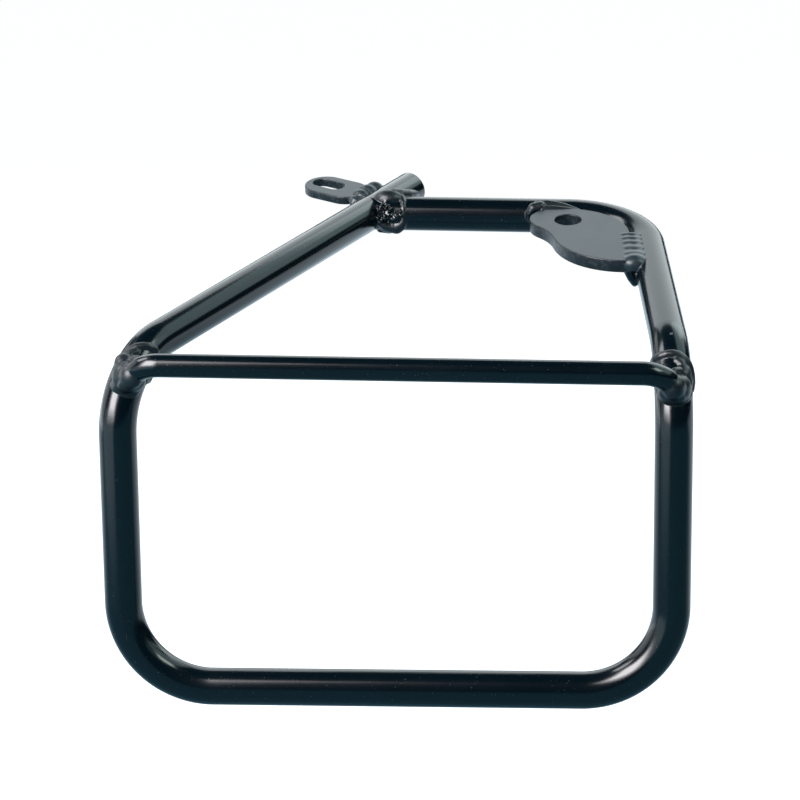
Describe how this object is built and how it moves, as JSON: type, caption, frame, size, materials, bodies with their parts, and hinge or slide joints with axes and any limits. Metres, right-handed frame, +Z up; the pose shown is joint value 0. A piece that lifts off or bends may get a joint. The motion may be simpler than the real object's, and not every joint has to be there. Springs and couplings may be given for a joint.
{
  "type": "pannier frame",
  "caption": "Bent steel tube frame that holds a pannier away from the wheel: an upright loop with a cross rod, rear arms, a bolt plate and a slotted tab.",
  "frame": {"origin": "middle of the bolt plate's hole, halfway through the plate", "axes": "+X to the right across the frame as seen from the loop's front, +Y from the loop towards the arms' rear, +Z up the loop from its bottom bar"},
  "size_m": [0.2513, 0.2098, 0.2069],
  "materials": {
    "powder_coat": "satin black powder coat over steel"
  },
  "bodies": {
    "root": {"main_tube": "powder_coat", "cross_bar": "powder_coat", "slotted_tab": "powder_coat", "bolt_plate": "powder_coat", "rear_joint_weld": "powder_coat", "left_bar_weld": "powder_coat", "right_bar_weld": "powder_coat", "tab_weld": "powder_coat", "plate_rear_weld": "powder_coat", "plate_side_weld": "powder_coat", "plate_under_weld": "powder_coat"}
  },
  "joints": []
}
